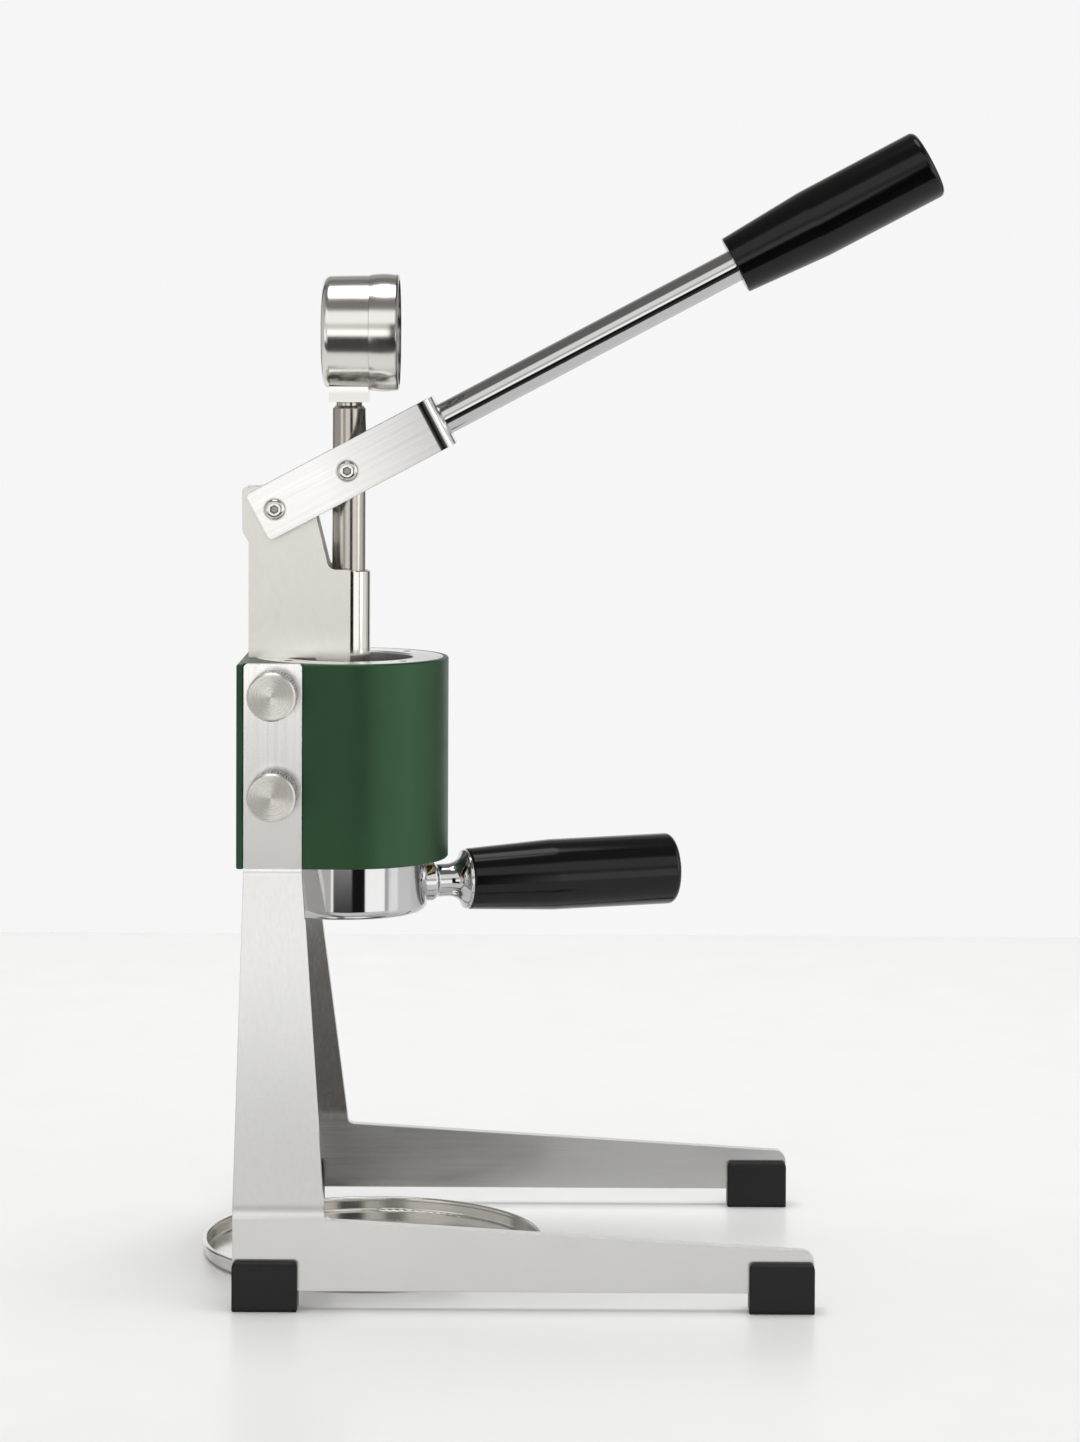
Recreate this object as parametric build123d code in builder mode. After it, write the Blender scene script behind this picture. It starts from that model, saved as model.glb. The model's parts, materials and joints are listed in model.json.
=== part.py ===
from build123d import *
from math import cos, radians, sin
import os

# A hand-filled lever espresso press on two splayed sheet legs.
# Millimetres, +Z up, +X towards the handles. The origin is on the counter, under the piston's axis.

# ---- body ----
body_bottom = 147.8
body_height = 74.0
body_top = body_bottom + body_height
ring_radius = 34.8
jacket_radius = ring_radius + 2.1
jacket_back = jacket_radius + 1.6
jacket_edge = 0.5
jacket_gap = 0.15
bore_radius = ring_radius - 10.8
bore_edge = 0.6
ring_height = 5.0
group_height = 10.2
floor_height = 4.0
floor_hole_circle = 9.0
floor_hole_count = 6
floor_hole_radius = 1.2
boiler_bottom = body_bottom + group_height
floor_top = boiler_bottom + floor_height
boiler_top = body_top - ring_height
ring_screw_circle = (bore_radius + ring_radius) / 2
ring_screw_radius = 2.0
ring_screw_head = 3.6
ring_screw_length = 10.0

# ---- legs and feet ----
sheet = 4.0
leg_back = jacket_back - 2.6
tab_width = jacket_radius - 15.9
tab_gap = 0.3
tab_corner = 1.2
bend_top = body_bottom - 1.5
bend_low = 34.9
bar_mid = 81.2
bar_front = 167.4
bar_bottom = 6.6
bar_height_rear = 24.9
bar_slope = 0.0596
waist_front = 3.6
top_bend_radius = 8.0
low_bend_radius = 16.0
bar_nose_radius = 4.2
bar_corner_radius = 1.0
leg_throat_radius = 2.5
foot_length = 22.8
foot_width = 11.1
foot_height = 17.6
foot_round = 2.8
foot_sole_round = 0.7
foot_end_round = 2.0

# ---- thumb screws ----
thumb_x = tab_width / 2 + 0.3 - leg_back
thumb_low = body_top - 46.6
thumb_pitch = 36.0
thumb_radius = 8.8
thumb_length = 13.0
thumb_face_edge = 0.7
thumb_collar_radius = 7.4
thumb_collar = 0.8
thumb_shank_radius = 3.0
thumb_shank = 9.4
knurl_count = 48
knurl_depth = 0.3
knurl_length = 10.45

# ---- bracket and guide tube ----
plate = 2.7
rod_radius = 6.15
rod_clearance = 0.05
bush_wall = 1.0
tube_wall = 0.85
tube_radius = rod_radius + rod_clearance + bush_wall + tube_wall
tube_bottom = body_top - 7.6
tube_top = body_top + 31.7
tube_edge = 0.3
plate_left = ring_radius + 1.35
plate_right = 0.95
plate_corner = 0.6
plate_top = body_top + 62.4
plate_top_right = 14.4
plate_top_round = 1.2
ear_left = plate_left + 2.35
ear_low = plate_top - 15.9
ear_foot = ear_low - 3.9
ear_round = 2.4
slope_round = 1.5
ledge_height = tube_top + 0.7
ledge_left = 6.8
ledge_round = 3.5
tongue_left = 11.4
tongue_bottom = tube_bottom
bush_height = 9.0
foot_plate = 2.5
foot_plate_bend = 1.75
foot_plate_length = plate_left - bore_radius - 0.65
web_top = ear_foot - 2.4
bracket_screw_radius = 1.5
bracket_screw_head = 2.85
bracket_screw_head_height = 1.65
bracket_screw_y = 4.2
bracket_screw_x = -ring_screw_circle - 0.4
bracket_screw_length = 10.0
bracket_screw_round = 1.0
bracket_screw_socket = 2.0

# ---- rod, piston and gauge ----
pivot_height = body_top + 68.8
rod_top = pivot_height + 23.5
rod_edge = 1.0
channel_radius = 1.25
piston_top = body_top - 15.8
piston_height = 11.0
piston_clearance = 0.06
seal_section = 1.5
seal_clearance = 0.05
groove_spare = 0.1
seal_pitch = 5.0
stud_radius = 3.0
nut_flats = 10.0
nut_height = 4.5
nut_recess = 7.0
nut_inset = 0.5
neck_radius = 4.8
neck_height = 1.4
block_width = 14.5
gauge_height = rod_top + neck_height + 25.56
case_radius = 21.1
case_back = -9.7
case_front = 15.0
case_wall = 1.4
case_round = 3.0
case_crown = 0.25
bezel_radius = case_radius + 0.7
bezel_back = 7.9
bezel_front = 18.3
bezel_lip = 1.7
bezel_round = 1.0
bezel_crown = 0.35
glass_thickness = 1.6
glass_gap = 0.2
dial_x = 9.6
dial_thickness = 0.8
spindle_radius = 0.8
spindle_clearance = 0.05
spindle_past = 0.6
pointer_x = 11.0
pointer_thickness = 0.7
pointer_hub = 2.4
pointer_length = 14.5
pointer_tail = 5.5
pointer_tail_width = 2.2
pointer_tip_width = 0.7
pointer_rest = 225.0
movement_radius = 8.0

# ---- lever ----
lever_angle = 28.1
pin_span = plate_left - 6.15
fork_width = 19.2
fork_sheet = 2.5
fork_inner = tube_radius + plate + 1.05
fork_front = 39.9
fork_rear = pin_span + 7.1
fork_bend = 4.75
fork_corner = 2.0
pin_radius = 3.0
pin_clearance = 0.04
trunnion_inner = 2.4
sleeve_radius = 4.2
washer_radius = 6.0
side_gap = 0.1
slot_below = 0.4
slot_above = 1.2
slot_rear_spare = 0.1
slot_front_share = 0.74
cap_radius = 3.85
cap_height = 2.2
cap_round = 1.6
cap_shank = 2.0
cap_shank_length = 6.0
cap_socket = 3.0
cap_socket_depth = 1.6
lever_rod_radius = 6.0
lever_stud_radius = 4.0
lever_nut_flats = 13.0
lever_nut_height = 6.0
lever_stud_past = 0.8
grip_start = 160.5
grip_length = 80.8
grip_taper = 32.5
grip_start_radius = 10.95
grip_start_round = 0.7
grip_shoulder_radius = 40.0
grip_swell = 0.15
lever_grip_radius = 13.1
grip_end_round = 2.5
grip_bore_depth = 36.0
grip_stud_gap = 1.0
cut_past = 1.0

# ---- portafilter ----
pour_angle = 17.7
pour_lift = 0.6
pour_height = body_bottom - 10.9
cup_radius = ring_radius - 5.5
cup_bottom = body_bottom - 19.8
cup_top = body_bottom + 6.2
cup_wall = 2.4
cup_round = 3.2
cup_floor = 2.2
spout_radius = cup_radius - 5.1
lug_radius = cup_radius + 3.1
lug_width = 19.0
lug_bottom = body_bottom + 2.7
lug_height = 3.0
lug_angle = 55.0
unlock_turn = 60.0
turn_clearance = 0.2
collar_seat = 0.4
ledge_thickness = 2.1
basket_wall = 0.5
basket_top_radius = cup_radius - 3.7
basket_bottom_radius = cup_radius - 4.4
basket_bottom = cup_bottom + 4.4
basket_rim = 0.8
basket_hole_pitch = 3.3
basket_hole_count = 6
basket_hole_radius = 0.75
gasket_inner = cup_radius - 4.5
gasket_outer = cup_radius - 0.1
screen_thickness = 1.0
screen_radius = gasket_inner - 0.6
screen_gap = 0.8
screen_hole_pitch = 6.2
screen_hole_count = 8
screen_hole_radius = 0.9
screen_collar_radius = 4.5
screen_screw_head = 4.4
screen_screw_head_height = 1.2
screen_screw_slot = 0.9
neck_boss_radius = 7.4
neck_boss_end = cup_radius + 3.1
neck_boss_round = 1.6
neck_stem_radius = 6.1
neck_stem_start = neck_boss_end + 1.2
neck_stem_end = neck_stem_start + 4.6
neck_stem_round = 0.8
ferrule_start = neck_stem_end + 6.2
ferrule_step = 0.3
ferrule_round = 0.5
ferrule_radius = 10.95
ferrule_width = 1.6
pour_grip_start = ferrule_start + ferrule_width
pour_grip_radius = 13.35
pour_grip_start_radius = 11.3
spring_radius = 0.55
spring_drop = 6.0

# ---- drip tray ----
tray_x = 9.3
tray_y = 3.5
tray_radius = 63.1
tray_height = 6.0
tray_sheet = 0.8
tray_bead = 1.0
tray_wall_radius = tray_radius - tray_bead
tray_corner = 1.6

lever_cos = cos(radians(lever_angle))
lever_sin = sin(radians(lever_angle))
rear_pin_x = -pin_span * lever_cos
rear_pin_z = pivot_height - pin_span * lever_sin
pour_cos = cos(radians(pour_angle))
pour_sin = sin(radians(pour_angle))
lift_cos = cos(radians(pour_lift))
lift_sin = sin(radians(pour_lift))

# The lever's own planes: x runs along the lever from the pivot, and z or y points up across it.
lever_plane = Plane(
    origin=(0, 0, pivot_height), x_dir=(lever_cos, 0, lever_sin), z_dir=(-lever_sin, 0, lever_cos)
)
lever_side = Plane(origin=(0, 0, pivot_height), x_dir=(lever_cos, 0, lever_sin), z_dir=(0, -1, 0))
lever_axis = Axis((0, 0, pivot_height), (lever_cos, 0, lever_sin))
# The portafilter's plane stands upright along its handle, which rises a little towards its end.
pour_direction = (pour_cos * lift_cos, pour_sin * lift_cos, lift_sin)
pour_side = Plane(origin=(0, 0, pour_height), x_dir=pour_direction, z_dir=(pour_sin, -pour_cos, 0))
pour_axis = Axis((0, 0, pour_height), pour_direction)
SIDES = {"near": -1, "far": 1}

os.makedirs("parts", exist_ok=True)


def save(name, piece):
    """Label a finished piece and write its STEP file."""
    piece.part.label = name
    export_step(piece.part, "parts/" + name + ".step")


def leg(side):
    """One bent sheet: a tab on the body, a splayed shank and a foot bar, trimmed to its side outline."""
    tab_mid = jacket_radius - sheet / 2
    with BuildPart() as piece:
        with BuildSketch(Plane.YZ):
            with BuildLine():
                FilletPolyline(
                    (side * tab_mid, body_top),
                    (side * tab_mid, bend_top),
                    (side * bar_mid, bend_low),
                    (side * bar_mid, bar_bottom),
                    radius=[top_bend_radius, low_bend_radius],
                )
            trace(line_width=sheet)
        extrude(amount=bar_front + leg_back, both=True)
        bar_top_front = bar_bottom + bar_height_rear - bar_slope * (bar_front + waist_front)
        with BuildSketch(Plane.XZ):
            with BuildLine():
                FilletPolyline(
                    (-leg_back, body_top),
                    (tab_width - leg_back, body_top),
                    (tab_width - leg_back, bend_top),
                    (-waist_front, bar_bottom + bar_height_rear),
                    (bar_front, bar_top_front),
                    (bar_front, bar_bottom),
                    (-leg_back, bar_bottom),
                    radius=[
                        tab_corner,
                        tab_corner,
                        top_bend_radius,
                        leg_throat_radius,
                        bar_nose_radius,
                        bar_corner_radius,
                        bar_corner_radius,
                    ],
                    close=True,
                )
            make_face()
            with Locations((thumb_x, thumb_low), (thumb_x, thumb_low + thumb_pitch)):
                Circle(thumb_shank_radius, mode=Mode.SUBTRACT)
        extrude(amount=bar_mid + sheet, both=True, mode=Mode.INTERSECT)
    return piece


def foot(side, start):
    """A rubber channel pushed onto the foot bar from below."""
    with BuildPart() as piece:
        with BuildSketch(Plane.YZ.offset(start)):
            with Locations((side * bar_mid, foot_height / 2)):
                Rectangle(foot_width, foot_height)
            fillet(vertices().group_by(Axis.Y)[-1], foot_round)
            fillet(vertices().group_by(Axis.Y)[0], foot_sole_round)
            with Locations((side * bar_mid, bar_bottom + foot_height / 2)):
                Rectangle(sheet, foot_height, mode=Mode.SUBTRACT)
        extrude(amount=foot_length)
        with BuildSketch(Plane.XZ):
            with Locations((start + foot_length / 2, foot_height / 2)):
                Rectangle(foot_length, foot_height)
            fillet(vertices().group_by(Axis.Y)[-1], foot_end_round)
            fillet(vertices().group_by(Axis.Y)[0], foot_sole_round)
        extrude(amount=bar_mid + foot_width, both=True, mode=Mode.INTERSECT)
    return piece


def thumb_screw(side, height):
    """A knurled thumb screw whose shank passes the leg's tab into the jacket."""
    seat = jacket_radius
    with BuildPart() as piece:
        with BuildSketch(Plane.XY):
            with BuildLine():
                Polyline(
                    (0, seat - thumb_shank),
                    (thumb_shank_radius, seat - thumb_shank),
                    (thumb_shank_radius, seat),
                    (thumb_collar_radius, seat),
                    (thumb_collar_radius, seat + thumb_collar),
                    (thumb_radius, seat + thumb_collar),
                    (thumb_radius, seat + thumb_length - thumb_face_edge),
                    (thumb_radius - thumb_face_edge, seat + thumb_length),
                    (0, seat + thumb_length),
                    close=True,
                )
            make_face()
        revolve(axis=Axis.Y)
        with BuildSketch(Plane.XZ.offset(-seat - thumb_collar - thumb_face_edge)):
            with PolarLocations(thumb_radius, knurl_count):
                Rectangle(2 * knurl_depth, 2 * knurl_depth, rotation=45)
        extrude(amount=-knurl_length, mode=Mode.SUBTRACT)
    turned = piece.part if side > 0 else piece.part.rotate(Axis.Z, 180)
    with BuildPart() as placed:
        with Locations((thumb_x, 0, height)):
            add(turned)
    return placed


def cap_screw(side, along):
    """A button-head screw that clamps a fork arm to the end of a pin, at a place along the lever."""
    face = fork_inner + fork_sheet
    plane = Plane(
        origin=lever_side.from_local_coords((along, 0, -side * face)),
        x_dir=lever_side.x_dir,
        z_dir=(0, side, 0),
    )
    with BuildPart() as piece:
        with BuildSketch(plane):
            Circle(cap_radius)
        extrude(amount=cap_height)
        rims = piece.edges().filter_by(GeomType.CIRCLE).sort_by(Axis.Y)
        fillet(rims[-1 if side > 0 else 0], cap_round)
        with BuildSketch(plane.offset(cap_height)):
            RegularPolygon(cap_socket / 2, 6, major_radius=False)
        extrude(amount=-cap_socket_depth, mode=Mode.SUBTRACT)
        with BuildSketch(plane):
            Circle(cap_shank)
        extrude(amount=-fork_sheet - cap_shank_length)
    return piece


def grip(side_plane, axis, start, start_radius, end_radius):
    """A tapered grip turned about its axis, bored for the stud that it screws onto."""
    end = start + grip_length
    with BuildPart() as piece:
        with BuildSketch(side_plane):
            with BuildLine():
                FilletPolyline(
                    (start, lever_stud_radius),
                    (start, start_radius),
                    (start + grip_taper, end_radius - grip_swell),
                    (end, end_radius),
                    (end, 0),
                    radius=[grip_start_round, grip_shoulder_radius, grip_end_round],
                )
                Polyline(
                    (end, 0),
                    (start + grip_bore_depth, 0),
                    (start + grip_bore_depth, lever_stud_radius),
                    (start, lever_stud_radius),
                )
            make_face()
        revolve(axis=axis)
    return piece


# ---- legs, feet and thumb screws ----
for side_name, side in SIDES.items():
    save("leg_" + side_name, leg(side))
    save("foot_rear_" + side_name, foot(side, -leg_back))
    save("foot_front_" + side_name, foot(side, bar_front - foot_length))
    save("thumb_screw_low_" + side_name, thumb_screw(side, thumb_low))
    save("thumb_screw_high_" + side_name, thumb_screw(side, thumb_low + thumb_pitch))

# ---- jacket: a D-shaped block, round in front, with a groove on each flat for a leg's tab ----
with BuildPart() as jacket:
    with BuildSketch(Plane.XY.offset(body_bottom)):
        Circle(jacket_radius)
        with Locations((-jacket_back / 2, 0)):
            Rectangle(jacket_back, 2 * jacket_radius)
    extrude(amount=body_height)
    chamfer(jacket.faces().sort_by(Axis.Z)[-1].edges(), jacket_edge)
    chamfer(jacket.faces().sort_by(Axis.Z)[0].edges(), jacket_edge)
    with BuildSketch(Plane.XY.offset(body_bottom)):
        Circle(ring_radius + jacket_gap)
        with Locations(
            (tab_width / 2 - leg_back, jacket_radius), (tab_width / 2 - leg_back, -jacket_radius)
        ):
            Rectangle(tab_width + 2 * tab_gap, 2 * sheet)
    extrude(amount=body_height, mode=Mode.SUBTRACT)
    with BuildSketch(Plane.XZ):
        with Locations((thumb_x, thumb_low), (thumb_x, thumb_low + thumb_pitch)):
            Circle(thumb_shank_radius)
    extrude(amount=jacket_radius, both=True, mode=Mode.SUBTRACT)
save("jacket", jacket)

# ---- cylinder: the bore that the piston runs in, with a drilled floor over the coffee ----
with BuildPart() as cylinder:
    with BuildSketch(Plane.XY.offset(boiler_bottom)):
        Circle(ring_radius)
    extrude(amount=boiler_top - boiler_bottom)
    with BuildSketch(Plane.XY.offset(floor_top)):
        Circle(bore_radius)
    extrude(amount=boiler_top - floor_top, mode=Mode.SUBTRACT)
    with BuildSketch(Plane.XY.offset(boiler_bottom)):
        with PolarLocations(floor_hole_circle, floor_hole_count):
            Circle(floor_hole_radius)
        Circle(ring_screw_radius)
    extrude(amount=floor_height, mode=Mode.SUBTRACT)
    with BuildSketch(Plane.XY.offset(boiler_top)):
        with PolarLocations(ring_screw_circle, 4, start_angle=45):
            Circle(ring_screw_radius)
    extrude(amount=ring_height - ring_screw_length, mode=Mode.SUBTRACT)
    with BuildSketch(Plane.XY.offset(boiler_top)):
        with Locations((bracket_screw_x, -bracket_screw_y), (bracket_screw_x, bracket_screw_y)):
            Circle(bracket_screw_radius)
    extrude(amount=foot_plate + ring_height - bracket_screw_length, mode=Mode.SUBTRACT)
save("cylinder", cylinder)

# ---- top ring: the bright flange round the open bore ----
with BuildPart() as top_ring:
    with BuildSketch(Plane.XY.offset(boiler_top)):
        Circle(ring_radius)
        Circle(bore_radius, mode=Mode.SUBTRACT)
        with Locations((bracket_screw_x, -bracket_screw_y), (bracket_screw_x, bracket_screw_y)):
            Circle(bracket_screw_radius, mode=Mode.SUBTRACT)
    extrude(amount=ring_height)
    with Locations(Plane.XY.offset(body_top)):
        with PolarLocations(ring_screw_circle, 4, start_angle=45):
            CounterSinkHole(ring_screw_radius, ring_screw_head, depth=ring_height)
    top_rims = top_ring.edges().filter_by(GeomType.CIRCLE).group_by(Axis.Z)[-1]
    chamfer(top_rims.sort_by(SortBy.RADIUS)[-2], bore_edge)
save("top_ring", top_ring)

with BuildPart() as ring_screws:
    with Locations(Plane.XY.offset(body_top)):
        with PolarLocations(ring_screw_circle, 4, start_angle=45):
            Cone(
                ring_screw_radius,
                ring_screw_head,
                ring_screw_head - ring_screw_radius,
                align=(Align.CENTER, Align.CENTER, Align.MAX),
            )
            Cylinder(
                ring_screw_radius, ring_screw_length, align=(Align.CENTER, Align.CENTER, Align.MAX)
            )
    with BuildSketch(Plane.XY.offset(body_top)):
        with PolarLocations(ring_screw_circle, 4, start_angle=45):
            RegularPolygon(cap_socket / 2, 6, major_radius=False)
    extrude(amount=-cap_socket_depth, mode=Mode.SUBTRACT)
save("ring_screws", ring_screws)

# ---- bayonet collar, gasket and shower screen ----
with BuildPart() as collar:
    collar_bottom = body_bottom + collar_seat
    ledge_top = collar_bottom + ledge_thickness
    with BuildSketch(Plane.XY.offset(collar_bottom)):
        Circle(ring_radius)
        Circle(cup_radius + 3 * turn_clearance, mode=Mode.SUBTRACT)
    extrude(amount=boiler_bottom - collar_bottom)
    with BuildSketch(Plane.XY.offset(ledge_top)):
        Circle(lug_radius + 2 * turn_clearance)
    extrude(amount=boiler_bottom - ledge_top, mode=Mode.SUBTRACT)
    with BuildSketch(Plane.XY.offset(collar_bottom)):
        Circle(lug_radius + 2 * turn_clearance)
        Rectangle(
            2 * ring_radius,
            lug_width + 6 * turn_clearance,
            rotation=lug_angle - unlock_turn,
            mode=Mode.INTERSECT,
        )
    extrude(amount=ledge_thickness, mode=Mode.SUBTRACT)
save("bayonet_collar", collar)

with BuildPart() as gasket:
    with BuildSketch(Plane.XY.offset(cup_top + basket_rim + turn_clearance)):
        Circle(gasket_outer)
        Circle(gasket_inner, mode=Mode.SUBTRACT)
    extrude(amount=boiler_bottom - cup_top - basket_rim - turn_clearance)
save("group_gasket", gasket)

screen_top = boiler_bottom - screen_gap
with BuildPart() as screen:
    with BuildSketch(Plane.XY.offset(screen_top - screen_thickness)):
        Circle(screen_radius)
        Circle(ring_screw_radius, mode=Mode.SUBTRACT)
        for ring_number in range(1, 4):
            with PolarLocations(screen_hole_pitch * ring_number, screen_hole_count * ring_number):
                Circle(screen_hole_radius, mode=Mode.SUBTRACT)
    extrude(amount=screen_thickness)
save("shower_screen", screen)

with BuildPart() as screen_screw:
    with BuildSketch(Plane.XY.offset(screen_top - screen_thickness)):
        Circle(screen_screw_head)
    extrude(amount=-screen_screw_head_height)
    with BuildSketch(Plane.XY.offset(screen_top - screen_thickness)):
        Circle(ring_screw_radius)
    extrude(amount=screen_thickness + screen_gap + floor_height)
    with BuildSketch(Plane.XY.offset(screen_top)):
        Circle(screen_collar_radius)
    extrude(amount=screen_gap)
    with BuildSketch(Plane.XY.offset(screen_top - screen_thickness - screen_screw_head_height)):
        Rectangle(2 * screen_collar_radius, screen_screw_slot)
    extrude(amount=screen_screw_head_height / 2, mode=Mode.SUBTRACT)
save("screen_screw", screen_screw)

# ---- bracket: two plates on the guide tube, with slots for the lever's rear pin ----
for side_name, side in SIDES.items():
    with BuildPart() as bracket_plate:
        with BuildSketch(Plane.XZ.offset(-side * tube_radius)):
            with BuildLine():
                FilletPolyline(
                    (-plate_left, body_top),
                    (-tongue_left, body_top),
                    (-tongue_left, tongue_bottom),
                    (plate_right, tongue_bottom),
                    (plate_right, ledge_height),
                    (-ledge_left, ledge_height),
                    (-plate_top_right, plate_top),
                    (-ear_left, plate_top),
                    (-ear_left, ear_low),
                    (-plate_left, ear_foot),
                    radius=[
                        plate_corner,
                        plate_corner,
                        plate_corner,
                        plate_corner,
                        plate_corner,
                        ledge_round,
                        slope_round,
                        plate_top_round,
                        ear_round,
                        ear_round,
                    ],
                    close=True,
                )
            make_face()
            slot_height = 2 * pin_radius + slot_below + slot_above
            slot_left = -pin_span - slot_rear_spare
            slot_right = -pin_span * slot_front_share
            with Locations(((slot_left + slot_right) / 2, rear_pin_z + (slot_above - slot_below) / 2)):
                SlotCenterToCenter(slot_right - slot_left, slot_height, mode=Mode.SUBTRACT)
        extrude(amount=-side * plate)
    save("bracket_plate_" + side_name, bracket_plate)

with BuildPart() as bracket_foot:
    with BuildSketch(Plane.XZ):
        with BuildLine():
            FilletPolyline(
                (foot_plate_length - plate_left, body_top + foot_plate / 2),
                (foot_plate / 2 - plate_left, body_top + foot_plate / 2),
                (foot_plate / 2 - plate_left, web_top),
                radius=foot_plate_bend,
            )
        trace(line_width=foot_plate)
    extrude(amount=tube_radius, both=True)
    with BuildSketch(Plane.XY.offset(body_top)):
        with Locations((bracket_screw_x, -bracket_screw_y), (bracket_screw_x, bracket_screw_y)):
            Circle(bracket_screw_radius)
    extrude(amount=foot_plate, mode=Mode.SUBTRACT)
save("bracket_foot", bracket_foot)

with BuildPart() as bracket_screws:
    with BuildSketch(Plane.XY.offset(body_top + foot_plate)):
        with Locations((bracket_screw_x, -bracket_screw_y), (bracket_screw_x, bracket_screw_y)):
            Circle(bracket_screw_head)
    extrude(amount=bracket_screw_head_height)
    fillet(bracket_screws.edges().filter_by(GeomType.CIRCLE).group_by(Axis.Z)[-1], bracket_screw_round)
    with BuildSketch(Plane.XY.offset(body_top + foot_plate)):
        with Locations((bracket_screw_x, -bracket_screw_y), (bracket_screw_x, bracket_screw_y)):
            Circle(bracket_screw_radius)
    extrude(amount=-bracket_screw_length)
    with BuildSketch(Plane.XY.offset(body_top + foot_plate + bracket_screw_head_height)):
        with Locations((bracket_screw_x, -bracket_screw_y), (bracket_screw_x, bracket_screw_y)):
            RegularPolygon(bracket_screw_socket / 2, 6, major_radius=False)
    extrude(amount=-bracket_screw_round, mode=Mode.SUBTRACT)
save("bracket_screws", bracket_screws)

with BuildPart() as guide_tube:
    with BuildSketch(Plane.XY.offset(tube_bottom)):
        Circle(tube_radius)
        Circle(rod_radius + rod_clearance + bush_wall, mode=Mode.SUBTRACT)
    extrude(amount=tube_top - tube_bottom)
    tube_rims = guide_tube.edges().filter_by(GeomType.CIRCLE).group_by(Axis.Z)[-1]
    chamfer(tube_rims.sort_by(SortBy.RADIUS)[-1], tube_edge)
save("guide_tube", guide_tube)

for bush_name, bush_bottom in (("low", tube_bottom), ("top", tube_top - bush_height)):
    with BuildPart() as bush:
        with BuildSketch(Plane.XY.offset(bush_bottom)):
            Circle(rod_radius + rod_clearance + bush_wall)
            Circle(rod_radius + rod_clearance, mode=Mode.SUBTRACT)
        extrude(amount=bush_height)
    save("guide_bush_" + bush_name, bush)

# ---- piston rod: bored for pressure up to the gauge, with a blind hole each side for the trunnions ----
trunnion_hole = trunnion_inner - side_gap
with BuildPart() as piston_rod:
    with BuildSketch(Plane.XY.offset(piston_top)):
        Circle(rod_radius)
    extrude(amount=rod_top - piston_top)
    chamfer(piston_rod.edges().filter_by(GeomType.CIRCLE).sort_by(Axis.Z)[-1], rod_edge)
    with BuildSketch(Plane.XY.offset(piston_top)):
        Circle(stud_radius)
    extrude(amount=nut_inset - piston_height)
    with BuildSketch(Plane.XY.offset(rod_top)):
        Circle(channel_radius)
    extrude(amount=-(rod_top - piston_top) - piston_height, mode=Mode.SUBTRACT)
    for side in SIDES.values():
        with BuildSketch(Plane.XZ.offset(-side * trunnion_hole)):
            with Locations((0, pivot_height)):
                Circle(pin_radius + pin_clearance)
        extrude(amount=-side * (rod_radius - trunnion_hole + cut_past), mode=Mode.SUBTRACT)
save("piston_rod", piston_rod)

piston_radius = bore_radius - piston_clearance
seal_outer = bore_radius - seal_clearance
seal_middle = seal_outer - seal_section
with BuildPart() as piston:
    with BuildSketch(Plane.XY.offset(piston_top - piston_height)):
        Circle(piston_radius)
        Circle(stud_radius, mode=Mode.SUBTRACT)
    extrude(amount=piston_height)
    with BuildSketch(Plane.XY.offset(piston_top - piston_height)):
        Circle(nut_recess)
    extrude(amount=nut_height + nut_inset, mode=Mode.SUBTRACT)
    for level in (-seal_pitch / 2, seal_pitch / 2):
        middle = piston_top - piston_height / 2 + level
        with BuildSketch(Plane.XY.offset(middle - seal_section - groove_spare)):
            Circle(piston_radius)
            Circle(seal_middle - seal_section, mode=Mode.SUBTRACT)
        extrude(amount=2 * (seal_section + groove_spare), mode=Mode.SUBTRACT)
save("piston", piston)

for seal_name, level in (("low", -seal_pitch / 2), ("top", seal_pitch / 2)):
    with BuildPart() as seal:
        with BuildSketch(Plane.XZ):
            with Locations((seal_middle, piston_top - piston_height / 2 + level)):
                Circle(seal_section)
        revolve(axis=Axis.Z)
    save("piston_seal_" + seal_name, seal)

with BuildPart() as piston_nut:
    with BuildSketch(Plane.XY.offset(piston_top - piston_height + nut_inset)):
        RegularPolygon(nut_flats / 2, 6, major_radius=False)
        Circle(stud_radius, mode=Mode.SUBTRACT)
    extrude(amount=nut_height)
save("piston_nut", piston_nut)

# ---- pressure gauge on top of the rod, facing +X ----
with BuildPart() as gauge_block:
    with BuildSketch(Plane.XY.offset(rod_top)):
        Circle(neck_radius)
    extrude(amount=neck_height)
    with BuildSketch(Plane.XY.offset(rod_top + neck_height)):
        Rectangle(block_width, block_width)
    extrude(amount=gauge_height - case_radius / 2 - rod_top - neck_height)
    with BuildSketch(Plane.XY.offset(rod_top)):
        Circle(channel_radius)
    extrude(amount=gauge_height - rod_top, mode=Mode.SUBTRACT)
    with BuildSketch(Plane.YZ):
        with Locations((0, gauge_height)):
            Circle(case_radius)
    extrude(amount=bezel_front, both=True, mode=Mode.SUBTRACT)
save("gauge_block", gauge_block)

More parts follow.
